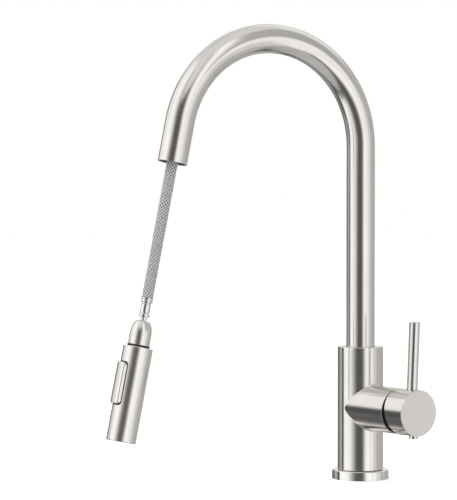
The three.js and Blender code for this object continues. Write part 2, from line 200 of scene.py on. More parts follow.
def ends_of(node):
    """The line through a long round node, from its lower end: its axis and its length."""
    co = points_of(node)
    middle = (co.min(0) + co.max(0)) / 2
    along = np.linalg.svd(co - co.mean(0), full_matrices=False)[2][0]
    line = Line(middle, along * np.sign(along[2]), (1, 0, 0))
    return line.moved(line.low(node)), line.high(node) - line.low(node)


# ---------------------------------------------------------------- mesh helpers
SUPPORT = 1.3                 # a fillet's support points, in lengths of its leg from the corner
SMOOTH_DEGREES = 32           # faces that meet at more than this keep a crisp edge
ON_SURFACE = 0.02 * MM        # a vertex this close to a cylinder lies on it


def new_object(name, vertices, faces):
    mesh = bpy.data.meshes.new(name)
    mesh.from_pydata([tuple(v) for v in vertices], [], faces)
    work = bmesh.new()
    work.from_mesh(mesh)
    bmesh.ops.recalc_face_normals(work, faces=work.faces)
    work.to_mesh(mesh)
    work.free()
    piece = bpy.data.objects.new(name, mesh)
    bpy.context.scene.collection.objects.link(piece)
    return piece


def arc(centre, first, last, swing, steps):
    """Points about the centre, from centre + first to centre + last, which are swing apart."""
    points = []
    for k in range(steps + 1):
        t = k / steps
        mixed = first * math.sin((1 - t) * swing) + last * math.sin(t * swing)
        points.append(centre + mixed / math.sin(swing))
    return points


def rounded(points, steps=5):
    """Corners (r, z, fillet) to a fine (r, z) outline, with a support point beside each fillet."""
    outline = []
    count = len(points)
    for i, (r, z, fillet) in enumerate(points):
        here = np.array([r, z], float)
        if not fillet:
            outline.append(here)
            continue
        before = np.array(points[(i - 1) % count][:2]) - here
        after = np.array(points[(i + 1) % count][:2]) - here
        before, after = before / np.linalg.norm(before), after / np.linalg.norm(after)
        half = math.acos(np.clip(before @ after, -1, 1)) / 2
        back = fillet / math.tan(half)
        centre = here + (before + after) / np.linalg.norm(before + after) * fillet / math.sin(half)
        first, last = here + before * back - centre, here + after * back - centre
        curve = arc(centre, first, last, math.pi - 2 * half, steps)
        outline += [here + before * back * SUPPORT, *curve, here + after * back * SUPPORT]
    return outline


def finely(outline, step):
    """The outline with long straight runs cut to at most step."""
    fine = [outline[0]]
    for a, b in zip(outline, outline[1:]):
        cuts = max(1, math.ceil(np.linalg.norm(np.array(b) - a) / step))
        fine += [a + (np.array(b) - a) * (k / cuts) for k in range(1, cuts + 1)]
    return fine


def turned(name, path, outline, sides=96, loop=False):
    """A round body along a path, from an (r, z) outline, or from a function of the angle that gives one.

    loop closes the outline on itself; otherwise it starts and ends on the axis. Each vertex keeps its
    place on the unrolled surface in the attribute "grain": length along the outline, then two
    round-the-axis coordinates, all in metres."""
    at_angle = outline if callable(outline) else (lambda angle: outline)
    angles = [FULL * k / sides for k in range(sides)]
    outlines = [at_angle(a) for a in angles]
    rows = len(outlines[0])
    vertices, grain, ring_of = [], [], []
    run = 0
    for i in range(rows):
        if i:
            run += float(np.linalg.norm(np.array(outlines[0][i]) - outlines[0][i - 1]))
        on_axis = max(o[i][0] for o in outlines) < 1e-6
        ring = []
        for a, one in zip(angles[:1] if on_axis else angles, outlines):
            r, z = one[i]
            centre, x, y = path.at(z)
            ring.append(len(vertices))
            vertices.append(centre + (x * math.cos(a) + y * math.sin(a)) * r)
            grain.append((run, r * math.cos(a), r * math.sin(a)))
        ring_of.append(ring)
    faces = []
    for i in range(rows if loop else rows - 1):
        low, high = ring_of[i], ring_of[(i + 1) % rows]
        for k in range(sides):
            n = (k + 1) % sides
            face = [low[k % len(low)], low[n % len(low)], high[n % len(high)], high[k % len(high)]]
            face = list(dict.fromkeys(face))
            if len(face) > 2:
                faces.append(face)
    piece = new_object(name, vertices, faces)
    keep_grain(piece, grain)
    return piece


def skin(rows, size, closed=False, capped=False):
    """The faces between stacked loops of size vertices; closed joins the last loop to the first."""
    faces = []
    for i in range(rows if closed else rows - 1):
        for k in range(size):
            n, m = (k + 1) % size, (i + 1) % rows
            faces.append([i * size + k, i * size + n, m * size + n, m * size + k])
    if capped:
        faces += [list(range(size)), [(rows - 1) * size + k for k in range(size)]]
    return faces


def keep_grain(piece, values):
    layer = piece.data.attributes.new("grain", "FLOAT_VECTOR", "POINT")
    layer.data.foreach_set("vector", np.asarray(values, np.float32).ravel())


def combine(target, tool, operation="DIFFERENCE"):
    """Cuts or joins tool, which is used up."""
    modifier = target.modifiers.new("combine", "BOOLEAN")
    modifier.object, modifier.operation, modifier.solver = tool, operation, "EXACT"
    graph = bpy.context.evaluated_depsgraph_get()
    made = bpy.data.meshes.new_from_object(target.evaluated_get(graph))
    target.modifiers.clear()
    target.data = made
    bpy.data.objects.remove(tool)
    work = bmesh.new()
    work.from_mesh(made)
    bmesh.ops.remove_doubles(work, verts=work.verts, dist=2e-7)
    bmesh.ops.dissolve_degenerate(work, dist=1e-7, edges=work.edges)
    work.to_mesh(made)
    work.free()
    return target


def drill(piece, line, radius, low, high, sides=96):
    """Cuts a round hole along the line, from low to high."""
    rod = [np.array(p) for p in ((0, low), (radius, low), (radius, high), (0, high))]
    combine(piece, turned("drill", line, rod, sides=sides))


def smooth(piece, cylinders=(), sharp_degrees=SMOOTH_DEGREES):
    """Smooth shading with crisp edges, and true normals where a face lies on one of these cylinders."""
    mesh = piece.data
    mesh.shade_smooth()
    mesh.set_sharp_from_angle(angle=math.radians(sharp_degrees))
    if not cylinders:
        return piece
    co = read(mesh.vertices, "co")
    normals = read(mesh.corner_normals, "vector")
    corner_vertex = read(mesh.loops, "vertex_index", 1, np.int32)
    totals = read(mesh.polygons, "loop_total", 1, np.int32)
    face_normal = np.repeat(read(mesh.polygons, "normal"), totals, axis=0)
    face_index = np.repeat(np.arange(len(totals)), totals)
    for line, radius in cylinders:
        spots = line.local(co)
        r = np.hypot(spots[:, 0], spots[:, 1])
        radial = np.outer(spots[:, 0], line.x) + np.outer(spots[:, 1], line.y)
        radial /= np.maximum(r, 1e-9)[:, None]
        on = np.abs(r - radius) < ON_SURFACE
        agree = np.einsum("ij,ij->i", radial[corner_vertex], face_normal)
        good = on[corner_vertex] & (np.abs(agree) > 0.985)
        whole = np.bincount(face_index, weights=~good, minlength=len(totals)) == 0
        use = whole[face_index]
        normals[use] = radial[corner_vertex[use]] * np.sign(agree[use])[:, None]
    mesh.normals_split_custom_set([tuple(n) for n in normals])
    return piece


def join(pieces, name):
    """Several objects as one mesh."""
    vertices, faces, grain, offset = [], [], [], 0
    for piece in pieces:
        mesh = piece.data
        vertices += [tuple(v.co) for v in mesh.vertices]
        faces += [[offset + v for v in polygon.vertices] for polygon in mesh.polygons]
        grain += [tuple(d.vector) for d in mesh.attributes["grain"].data]
        offset += len(mesh.vertices)
        bpy.data.objects.remove(piece)
    whole = new_object(name, vertices, faces)
    keep_grain(whole, grain)
    return whole


# ---------------------------------------------------------------- materials
class Tree:
    """A short way to write a node tree."""

    def __init__(self, owner):
        owner.use_nodes = True
        self.tree = owner.node_tree

    def node(self, kind, links=None, **values):
        made = self.tree.nodes.new(kind)
        for key, value in values.items():
            if hasattr(made, key):
                setattr(made, key, value)
            else:
                made.inputs[key.replace("_", " ")].default_value = value
        for socket, source in (links or {}).items():
            self.tree.links.new(source, made.inputs[socket])
        return made

    def feed(self, socket, value):
        """Gives a socket a link, a colour (as a tuple) or a number."""
        if hasattr(value, "links"):
            self.tree.links.new(value, socket)
        else:
            socket.default_value = (*value, 1) if isinstance(value, tuple) else value

    def maths(self, operation, *terms):
        made = self.node("ShaderNodeMath", operation=operation)
        for socket, value in zip(made.inputs, terms):
            self.feed(socket, value)
        return made.outputs[0]

    def spread(self, source, low, high, start=0.3, end=0.7, **settings):
        """The source's range from start to end, mapped to the range from low to high."""
        limits = {"From_Min": start, "From_Max": end, "To_Min": low, "To_Max": high}
        return self.node("ShaderNodeMapRange", {"Value": source}, **limits, **settings).outputs["Result"]


class Nodes(Tree):
    """The node tree of one Principled material."""

    def __init__(self, name, color, roughness, metallic=0.0, specular=0.5):
        self.material = bpy.data.materials.new(name)
        super().__init__(self.material)
        self.shader = self.tree.nodes["Principled BSDF"]
        self.shader.inputs["Base Color"].default_value = (*color, 1)
        self.shader.inputs["Roughness"].default_value = roughness
        self.shader.inputs["Metallic"].default_value = metallic
        self.shader.inputs["Specular IOR Level"].default_value = specular

    def noise(self, scale, grain=False, detail=3.0):
        if grain:
            source = self.node("ShaderNodeAttribute", attribute_name="grain").outputs["Vector"]
        else:
            source = self.node("ShaderNodeTexCoord").outputs["Object"]
        scale = scale if isinstance(scale, tuple) else (scale,) * 3
        where = self.node("ShaderNodeMapping", {"Vector": source}, Scale=scale).outputs["Vector"]
        made = self.node("ShaderNodeTexNoise", {"Vector": where}, Scale=1.0, Detail=detail, Roughness=0.55)
        return made.outputs["Fac"]

    def blend(self, factor, first, second):
        made = self.node("ShaderNodeMix", {"Factor": factor}, data_type="RGBA")
        for name, value in (("A", first), ("B", second)):
            self.feed([s for s in made.inputs if s.name == name and s.type == "RGBA"][0], value)
        return [s for s in made.outputs if s.type == "RGBA"][0]

    def set(self, socket, source):
        self.tree.links.new(source, self.shader.inputs[socket])

    def bump(self, height, distance, strength):
        made = self.node("ShaderNodeBump", {"Height": height}, Strength=strength, Distance=distance)
        self.set("Normal", made.outputs["Normal"])


def shade(color, factor):
    return tuple(min(1.0, c * factor) for c in color)


def brushed(name, color, roughness):
    """Metal with fine turning lines round the axis, faint cloudiness and a few rub marks."""
    m = Nodes(name, color, roughness, metallic=1.0)
    lines = m.noise((5200, 42, 42), grain=True, detail=4)
    cloud = m.noise(38, detail=2)
    rub = m.noise((900, 210, 210), grain=True, detail=2)
    m.set("Base Color", m.blend(m.spread(cloud, 0, 1), shade(color, 0.965), shade(color, 1.03)))
    turning = m.spread(lines, roughness - 0.035, roughness + 0.035)
    m.set("Roughness", m.maths("ADD", turning, m.spread(rub, -0.02, 0.025)))
    m.bump(lines, 0.6 * MM, 0.035)
    return m.material


def polished(name, color, roughness):
    m = Nodes(name, color, roughness, metallic=1.0)
    cloud = m.noise(60, detail=3)
    m.set("Roughness", m.spread(cloud, roughness - 0.03, roughness + 0.05))
    m.set("Base Color", m.blend(m.spread(cloud, 0, 1), shade(color, 0.97), shade(color, 1.02)))
    m.bump(m.noise(420, detail=2), 0.6 * MM, 0.02)
    return m.material


def machined(name, color, roughness):
    m = Nodes(name, color, roughness, metallic=1.0)
    cuts = m.noise((160, 160, 2600), detail=2)
    stain = m.noise(90, detail=3)
    m.set("Roughness", m.spread(stain, roughness - 0.08, roughness + 0.1))
    m.set("Base Color", m.blend(m.spread(stain, 0, 1), shade(color, 0.8), shade(color, 1.05)))
    m.bump(cuts, 0.6 * MM, 0.12)
    return m.material


def moulded(name, color, roughness):
    """Moulded plastic or rubber: a fine skin texture and slight mottling."""
    m = Nodes(name, color, roughness)
    texture = m.noise(2600, detail=2)
    mottle = m.noise(130, detail=3)
    m.set("Roughness", m.spread(mottle, roughness - 0.06, roughness + 0.08))
    m.set("Base Color", m.blend(m.spread(mottle, 0, 1), shade(color, 0.85), shade(color, 1.12)))
    m.bump(texture, 0.5 * MM, 0.1)
    return m.material


def woven(name, color, dark):
    """Nylon yarn: strand lines along each carrier, with darker flecks here and there."""
    m = Nodes(name, color, 0.5, specular=0.4)
    m.shader.inputs["Sheen Weight"].default_value = 0.25
    yarn = m.noise((260, 5200, 5200), grain=True, detail=2)
    fleck = m.noise(900, detail=3)
    toned = m.blend(m.spread(fleck, 0, 1), dark, color)
    m.set("Base Color", m.blend(m.spread(yarn, 0, 1), toned, shade(color, 1.25)))
    m.set("Roughness", m.spread(yarn, 0.38, 0.62))
    m.bump(yarn, 0.4 * MM, 0.35)
    return m.material


NICKEL = (0.78, 0.76, 0.73)
FINISH = {
    "brushed_nickel": brushed("brushed_nickel", NICKEL, 0.17),
    "polished_nickel": polished("polished_nickel", (0.83, 0.815, 0.79), 0.12),
    "bare_steel": machined("bare_steel", (0.66, 0.655, 0.645), 0.35),
    "brass": machined("brass", (0.71, 0.56, 0.29), 0.32),
    "black_rubber": moulded("black_rubber", (0.022, 0.022, 0.024), 0.62),
    "dark_plastic": moulded("dark_plastic", (0.045, 0.045, 0.047), 0.42),
    "light_plastic": moulded("light_plastic", (0.74, 0.72, 0.67), 0.45),
    "braid": woven("braid", (0.66, 0.655, 0.65), (0.3, 0.3, 0.3)),
}
SATIN = brushed("satin_nickel", shade(NICKEL, 1.06), 0.24)
SLOT_OF = {s["node"]: s["material_slot"] for s in frame["record"]["subparts"]}


def dress(piece, slot, material=None):
    piece.data.materials.clear()
    piece.data.materials.append(material or FINISH[slot])


def stand_for(piece, body, *nodes, slot=None, material=None):
    """Finishes a piece: its material, its body, and the CAD nodes that it stands for."""
    slot = slot or SLOT_OF[nodes[0]]
    dress(piece, slot, material)
    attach(piece, body)
    if nodes:
        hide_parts(*nodes)
    return piece


# ---------------------------------------------------------------- the hose
HOSE_R = 5.5 * MM
HOSE_CORE_R = 4.55 * MM       # the dark tube under the braid
HOSE_BORE_R = 3.2 * MM
CARRIERS = 10                 # yarn carriers each way round
BRAID_LEAD = 34 * MM          # one turn's length
YARN_RISE = 0.24 * MM         # how far a carrier goes over and under
GUIDE_DEPTH = 8 * MM          # from the dock insert's end, inside the mouth, to the hose's guide ring


def yarn(line, low, high, start_angle, hand, parity):
    """One flat carrier of the braid: a helix that passes over one crossing carrier and under the next."""
    half_width, half_thick = 0.66 * MM, 0.26 * MM
    per_crossing = 4
    turns = (high - low) / BRAID_LEAD
    steps = round(turns * 2 * CARRIERS * per_crossing)
    ring = [(half_width, 0), (half_width * 0.6, half_thick), (-half_width * 0.6, half_thick),
            (-half_width, 0), (0, -half_thick * 0.8)]
    mean = HOSE_R - YARN_RISE - half_thick
    vertices, grain = [], []
    slope = math.atan2(FULL * mean, BRAID_LEAD)
    for k in range(steps + 1):
        t = k / steps
        angle = start_angle + hand * FULL * turns * t
        z = low + (high - low) * t
        crossing = 2 * CARRIERS * turns * t
        r = mean + YARN_RISE * math.cos(math.pi * crossing + math.pi * parity)
        centre, x, y = line.at(z)
        out = x * math.cos(angle) + y * math.sin(angle)
        tangent = y * math.cos(angle) - x * math.sin(angle)
        across = tangent * math.cos(slope) - line.z * hand * math.sin(slope)
        for u, v in ring:
            vertices.append(centre + out * (r + v - u * u / (2 * mean) * 0.5) + across * u)
            grain.append((t * (high - low) * 1.4, u, v))
    return vertices, grain, skin(steps + 1, len(ring), capped=True)


def braided_hose(name, line, low, high):
    """The braid's two layers of carriers over the dark tube that shows between them."""
    vertices, grain, faces = [], [], []
    for hand in (1, -1):
        for k in range(CARRIERS):
            parity = k if hand > 0 else k + 1
            more, tone, sides = yarn(line, low, high, FULL * k / CARRIERS, hand, parity)
            faces += [[len(vertices) + v for v in side] for side in sides]
            vertices += more
            grain += tone
    braid = new_object(name + "_yarn", vertices, faces)
    keep_grain(braid, grain)
    wall = [(HOSE_BORE_R, low), (HOSE_CORE_R, low), (HOSE_CORE_R, high), (HOSE_BORE_R, high)]
    outline = finely([np.array(p) for p in wall], 4 * MM)
    liner = turned(name + "_liner", line, outline, sides=32, loop=True)
    hose = join([braid, liner], name)
    hose.data.shade_smooth()
    dress(hose, "braid")
    hose.data.materials.append(FINISH["dark_plastic"])
    for polygon in hose.data.polygons[len(faces):]:
        polygon.material_index = 1
    return hose


def make_hose():
    low, high = head.span("hose_exposed")
    guide = mouth.high("dock_insert") + GUIDE_DEPTH
    hose = braided_hose("hose", head, low, high)
    steps = 24
    route = [head.point(0, 0, high + (low - high) * k / steps) for k in range(steps + 1)]
    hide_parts("hose_exposed")
    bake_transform(hose)
    tuple(mouth.point(0, 0, guide))
    make_ferrule()
    make_connector()


def make_ferrule():
    low, high = head.span("hose_ferrule")
    r = head.outer("hose_ferrule")
    waist = r - 0.45 * MM
    band = (high - low) / 5
    ferrule = turned("ferrule", head, rounded([
        (HOSE_BORE_R, low, 0), (r - 0.3 * MM, low, 0.2 * MM), (r, low + 0.4 * MM, 0.2 * MM),
        (r, low + 1.6 * band, 0.3 * MM), (waist, low + 2.1 * band, 0.3 * MM),
        (waist, low + 2.9 * band, 0.3 * MM), (r, low + 3.4 * band, 0.3 * MM),
        (r, high, 0.35 * MM), (HOSE_BORE_R, high, 0)]), sides=64, loop=True)
    return stand_for(smooth(ferrule), "hose_end", "hose_ferrule")


def make_connector():
    low, high = head.span("hose_connector")
    flange, neck, bore = head.outer("hose_connector"), 4.6 * MM, 1.9 * MM
    waist = neck - 0.45 * MM
    connector = turned("connector", head, rounded([
        (bore, low, 0), (flange, low, 0.35 * MM), (flange, low + 2.3 * MM, 0.5 * MM),
        (neck - 0.5 * MM, low + 3 * MM, 0.3 * MM), (neck, low + 4 * MM, 0.3 * MM),
        (neck, high - 1.6 * MM, 0.25 * MM), (waist, high - 1.1 * MM, 0.25 * MM),
        (waist, high, 0), (bore, high, 0)]), sides=64, loop=True)
    return stand_for(smooth(connector), "hose_end", "hose_connector")


make_hose()


# ---------------------------------------------------------------- spray head
def make_ball_stem():
    low, high = head.span("ball_stem")
    ball_r, neck, bore = head.outer("ball_stem"), 3 * MM, 1.6 * MM
    middle = low + ball_r - 0.6 * MM
    ball = [(ball_r * math.cos(a), middle + ball_r * math.sin(a))
            for a in np.linspace(-1.12, math.acos(neck / ball_r), 16)]
    outline = [np.array(p) for p in [(bore, ball[0][1]), *ball, (neck, high), (bore, high)]]
    stem = turned("ball_stem_fine", head, finely(outline, 3 * MM), sides=48, loop=True)
    return stand_for(smooth(stem), "hose_end", "ball_stem")


def make_dome():
    """The dome over the ball joint, with the groove that the dock's ring sits in."""
    low, high = head.span("ball_joint_dome")
    r = head.outer("ball_joint_dome")
    hole, lip_r, wall = 4.3 * MM, 5.2 * MM, r - 2 * MM
    shoulder, ceiling = 11 * MM, high - 2.2 * MM
    groove, groove_low, groove_high = r - 0.9 * MM, 0.3 * MM, 2.3 * MM
    curve = [(lip_r + (r - lip_r) * math.cos(a), shoulder + (high - shoulder) * math.sin(a))
             for a in np.linspace(0, math.pi / 2, 18)]
    inside = [(hole + (wall - hole) * math.cos(a), shoulder + (ceiling - shoulder) * math.sin(a))
              for a in np.linspace(math.pi / 2, 0, 12)]
    start = rounded([
        (wall, low, 0), (r, low, 0), (r, groove_low, 0.08 * MM), (groove, groove_low, 0),
        (groove, groove_high, 0), (r, groove_high, 0.12 * MM), (r, shoulder - 2 * MM, 0)])
    lip = rounded([(lip_r, high, 0), (hole, high, 0.3 * MM), (hole, ceiling, 0)])
    outline = [np.array(p) for p in [*start, *curve, *lip[1:], *inside[1:]]]
    dome = turned("dome", head, outline, loop=True)
    return stand_for(smooth(dome), "spray_head", "ball_joint_dome", material=SATIN)


def make_o_ring():
    low, high = head.span("dock_o_ring")
    inner, outer = head.radii("dock_o_ring")
    nearly_round = (high - low) * 0.42
    ring = turned("dock_o_ring_fine", head, rounded([
        (inner, low, 0.1 * MM), (outer, low, nearly_round),
        (outer, high, nearly_round), (inner, high, 0.1 * MM)]), loop=True)
    return stand_for(smooth(ring), "spray_head", "dock_o_ring")


def plate_outline(width, height, corner, inset=0.0, steps=8, cuts=10):
    """A round-cornered rectangle, (x, z) points anticlockwise, pulled in by inset, its sides cut evenly."""
    r = max(corner - inset, 0.02 * MM)
    across, up = width / 2 - inset - r, height / 2 - inset - r
    corners = [(across, -up), (across, up), (-across, up), (-across, -up)]
    outline = []
    for k, centre in enumerate(corners):
        for j in range(steps + 1):
            a = -math.pi / 2 + (k + j / steps) * math.pi / 2
            outline.append((centre[0] + r * math.cos(a), centre[1] + r * math.sin(a)))
        last, onward = np.array(outline[-1]), corners[(k + 1) % 4]
        target = np.array(onward) + r * np.array([math.cos(k * math.pi / 2), math.sin(k * math.pi / 2)])
        outline += [tuple(last + (target - last) * j / cuts) for j in range(1, cuts)]
    return outline


def layered(name, line, layers):
    """A closed body from stacked loops of (x, y, z) points of the line, capped at both ends."""
    vertices = [line.point(*p) for layer in layers for p in layer]
    grain = [(p[2], p[0], p[1]) for layer in layers for p in layer]
    piece = new_object(name, vertices, skin(len(layers), len(layers[0]), capped=True))
    keep_grain(piece, grain)
    return piece


HEAD_R = 14 * MM
TOGGLE_LOW, TOGGLE_HIGH = head.span("toggle_button")
TOGGLE_MIDDLE = (TOGGLE_HIGH + TOGGLE_LOW) / 2
TOGGLE_HEIGHT = TOGGLE_HIGH - TOGGLE_LOW
TOGGLE_WIDTH = 14.5 * MM
TOGGLE_CORNER = 2.8 * MM
TOGGLE_GAP = 1.2 * MM
WINDOW_CORNER = 3.4 * MM


def make_head_shell():
    low = head.low("head_shell")
    throat, bore, ceiling = head.inner("head_shell"), 12.4 * MM, -2.4 * MM
    outline = rounded([
        (throat, 0, 0.15 * MM), (HEAD_R, 0, 0.5 * MM), (HEAD_R, low, 0.9 * MM),
        (bore - 0.1 * MM, low, 0.3 * MM), (bore, low + 1.2 * MM, 0),
        (bore, ceiling, 0), (throat, ceiling, 0)])
    outline = finely(outline + outline[:1], 4 * MM)[:-1]
    shell = turned("head_shell_fine", head, outline, sides=144, loop=True)
    gaps = 2 * TOGGLE_GAP
    opening = plate_outline(TOGGLE_WIDTH + gaps, TOGGLE_HEIGHT + gaps, WINDOW_CORNER)
    depths = (-5 * MM, -25 * MM)
    tool = layered("window", head, [[(x, y, z + TOGGLE_MIDDLE) for x, z in opening] for y in depths])
    combine(shell, tool)
    smooth(shell, [(head, HEAD_R), (head, bore)])
    return stand_for(shell, "spray_head", "head_shell", material=SATIN)


def make_toggle():
    """The rocker follows the head's roundness and stands proud of it, with a soft edge."""
    outer_r, back, soft = HEAD_R + 2.5 * MM, 11.3 * MM, 0.7 * MM
    edge = plate_outline(TOGGLE_WIDTH, TOGGLE_HEIGHT, TOGGLE_CORNER)
    layers = [[(x, -back, z + TOGGLE_MIDDLE) for x, z in edge]]
    insets = [soft * (1 - math.cos(a)) for a in np.linspace(0, math.pi / 2, 6)]
    insets += list(np.linspace(soft * 1.6, TOGGLE_WIDTH / 2 - 0.3 * MM, 9))
    for inset in insets:
        r = outer_r - soft + math.sqrt(max(soft**2 - max(soft - inset, 0) ** 2, 0))
        loop = plate_outline(TOGGLE_WIDTH, TOGGLE_HEIGHT, TOGGLE_CORNER, inset)
        layers.append([(x, -math.sqrt(r * r - x * x), z + TOGGLE_MIDDLE) for x, z in loop])
    toggle = layered("toggle", head, layers)
    return stand_for(smooth(toggle, sharp_degrees=50), "toggle", "toggle_button", material=SATIN)


def make_toggle_gap_shade():
    """Painted shade: a dark rubber frame set in the gap round the rocker, so that the gap reads dark as if shaded.
    It lies below the shell's surface, clear of the rocking.
    """
    depth, thickness, clearance, seat = 0.7 * MM, MM, 0.55 * MM, 0.05 * MM
    outer, inner = 2 * (TOGGLE_GAP - seat), 2 * clearance
    outside = plate_outline(TOGGLE_WIDTH + outer, TOGGLE_HEIGHT + outer, WINDOW_CORNER)
    inside = plate_outline(TOGGLE_WIDTH + inner, TOGGLE_HEIGHT + inner, 3 * MM)
    r = HEAD_R - depth
    vertices = []
    for outline, lift in ((outside, 0), (inside, 0), (inside, thickness), (outside, thickness)):
        vertices += [head.point(x, lift - math.sqrt(r * r - x * x), z + TOGGLE_MIDDLE) for x, z in outline]
    gasket = new_object("toggle_gap_shade", vertices, skin(4, len(outside), closed=True))
    return stand_for(smooth(gasket), "spray_head", slot="black_rubber")


def nozzle(x, y, z):
    """One soft spray nozzle, pointing down from the spray face."""
    line = Line(head.point(x, y, z), -head.z, head.x)
    root, tip, hole, length, hole_floor = 0.95 * MM, 0.62 * MM, 0.25 * MM, 0.75 * MM, 0.3 * MM
    return turned("nozzle", line, rounded([
        (0, 0, 0), (root, 0, 0), (tip, length, 0.2 * MM), (hole, length, 0),
        (hole, hole_floor, 0), (0, hole_floor, 0)], steps=2), sides=12)


def make_spray_face():
    """The nozzle plate, with two rings of nozzles; the outer ring starts half a step round."""
    low, high = head.span("spray_face")
    inner, outer = head.radii("spray_face")
    face_z, sunk = low + 0.75 * MM, 0.02 * MM
    plate = turned("plate", head, rounded([
        (inner, high, 0), (outer, high, 0),
        (outer, face_z, 0.5 * MM), (inner, face_z, 0.4 * MM)]), loop=True)
    pieces = [plate]
    for radius, count, shift in ((8.4 * MM, 14, 0), (10.6 * MM, 20, 0.5)):
        for k in range(count):
            a = FULL * (k + shift) / count
            pieces.append(nozzle(radius * math.cos(a), radius * math.sin(a), face_z + sunk))
    face = join(pieces, "spray_face_fine")
    return stand_for(smooth(face), "spray_head", "spray_face")


def make_aerator():
    """The aerator's rim, and the mesh in it: two layers of nine crossing wires."""
    low, high = head.span("aerator")
    r = head.outer("aerator")
    opening, floor = r - 1.3 * MM, low + 1.2 * MM
    pieces = [turned("aerator_rim", head, rounded([
        (0, high, 0), (r, high, 0), (r, low, 0.5 * MM), (opening, low, 0.3 * MM),
        (opening, floor, 0), (0, floor, 0)]), sides=64)]
    wire, mesh_step, reach = 0.16 * MM, 1.1 * MM, r - 1.4 * MM
    for k in range(-4, 5):
        offset = k * mesh_step
        half = math.sqrt(reach**2 - offset**2)
        rod = rounded([(0, 0, 0), (wire, 0, 0), (wire, 2 * half, 0), (0, 2 * half, 0)])
        for side, other, lift in ((head.x, head.y, 0.95 * MM), (head.y, head.x, 1.15 * MM)):
            start = head.point(0, 0, low + lift) + other * offset - side * half
            pieces.append(turned("wire", Line(start, side, head.z), rod, sides=8))
    aerator = join(pieces, "aerator_fine")
    return stand_for(smooth(aerator), "spray_head", "aerator")


# ---------------------------------------------------------------- gooseneck
def make_gooseneck():
    inner = TUBE_R - TUBE_WALL
    length = gooseneck.length - MOUTH_SEAM
    outline = rounded([
        (inner, 0, 0), (TUBE_R, 0, 0.4 * MM), (TUBE_R, length, 0.3 * MM), (inner, length, 0.3 * MM)])
    tube = turned("gooseneck", gooseneck, finely(outline + outline[:1], 3 * MM)[:-1], loop=True)
    return stand_for(smooth(tube), "spout", "spout_tube")


def make_dock_insert():
    low, high = mouth.span("dock_insert")
    inner, outer = mouth.radii("dock_insert")
    insert = turned("dock_guide", mouth, rounded([
        (inner, low, 0.5 * MM), (outer, low, 0.3 * MM),
        (outer, high, 0), (inner, high, 0.5 * MM)]), loop=True)
    return stand_for(smooth(insert), "spout", "dock_insert")


# ---------------------------------------------------------------- column, valve and handle
BODY_R = 22.5 * MM
HOUSING_R = 22.3 * MM
BORE_R = 18.2 * MM
RIM_R = 21.5 * MM             # the dark ring's outer radius, and its depth in the rim
RIM_RING = 1.2 * MM
FILLET = 1.3 * MM
HUB_WALL = 2.6 * MM
HUB_FACE = 2.8 * MM
HOLE_GAP = 0.25 * MM          # round the lever and the plug


def make_body():
    low, high = column.span("body_shell")
    rim = valve.high("body_shell")
    body = turned("body", column, finely(rounded([
        (0, low, 0), (BODY_R, low, 0.3 * MM), (BODY_R, high, 0.6 * MM), (0, high, 0)]), 5 * MM), sides=144)
    housing = turned("housing", valve, finely(rounded([
        (0, 0, 0), (HOUSING_R, 0, 0), (HOUSING_R, rim, 0.18 * MM), (0, rim, 0)]), 4 * MM), sides=144)
    combine(body, housing, "UNION")
    cap, tube_gap = 5 * MM, 0.5 * MM
    drill(body, column, BORE_R, low - cap, high - cap)
    drill(body, column, TUBE_R + tube_gap, high - 2 * cap, high + cap)
    drill(body, valve, BORE_R, 0, rim + cap)
    drill(body, valve, RIM_R, rim - RIM_RING, rim + cap)
    smooth(body, [(column, BODY_R), (valve, HOUSING_R), (column, BORE_R), (valve, BORE_R)])
    return stand_for(body, "base", "body_shell")


def make_rim_ring():
    """The dark sealing ring set into the housing's rim, seen in the gap before the handle."""
    rim = valve.high("body_shell")
    seat = rim - RIM_RING
    ring = turned("rim_ring", valve, rounded([
        (BORE_R, seat, 0), (RIM_R, seat, 0), (RIM_R, rim, 0.1 * MM), (BORE_R, rim, 0.2 * MM)]), loop=True)
    return stand_for(smooth(ring), "base", slot="black_rubber")


def make_housing_fillet():
    """The weld where the side housing meets the column: a ball rolled round the crossing."""
    steps, around, depth = 6, 240, 0.5 * MM
    far, share = HOUSING_R + FILLET, BODY_R / (BODY_R + FILLET)
    vertices = []
    for j in range(around):
        across, up = math.cos(FULL * j / around), math.sin(FULL * j / around)
        out = math.sqrt((BODY_R + FILLET) ** 2 - (far * across) ** 2)
        centre = np.array([out, far * across, far * up])
        on_body = centre * [share, share, 1]
        on_housing = np.array([out, HOUSING_R * across, HOUSING_R * up])
        first, last = on_body - centre, on_housing - centre
        swing = math.acos(np.clip(first @ last / FILLET**2, -1, 1))
        vertices += arc(centre, first, last, swing, steps)
        for p in (on_housing, on_body):
            vertices.append(p - (np.array([0, across, up]) + np.array([p[0], p[1], 0]) / BODY_R) * depth)
    vertices = [p + valve.origin for p in vertices]
    weld = new_object("housing_weld", vertices, skin(around, steps + 3, closed=True))
    keep_grain(weld, vertices)
    return stand_for(smooth(weld, sharp_degrees=60), "base", slot="brushed_nickel")


def make_escutcheon():
    """The base ring, with the seal's groove in its underside."""
    low, high = column.span("escutcheon")
    inner, outer = column.radii("escutcheon")
    near, far, groove = 20 * MM, 25 * MM, low + 1.3 * MM
    plate = turned("escutcheon_fine", column, rounded([
        (inner, low, 0), (near, low, 0), (near, groove, 0), (far, groove, 0), (far, low, 0),
        (outer, low, 0.3 * MM), (outer, high, 0.8 * MM), (inner, high, 0)]), sides=128, loop=True)
    return stand_for(smooth(plate), "base", "escutcheon", material=FINISH["polished_nickel"])


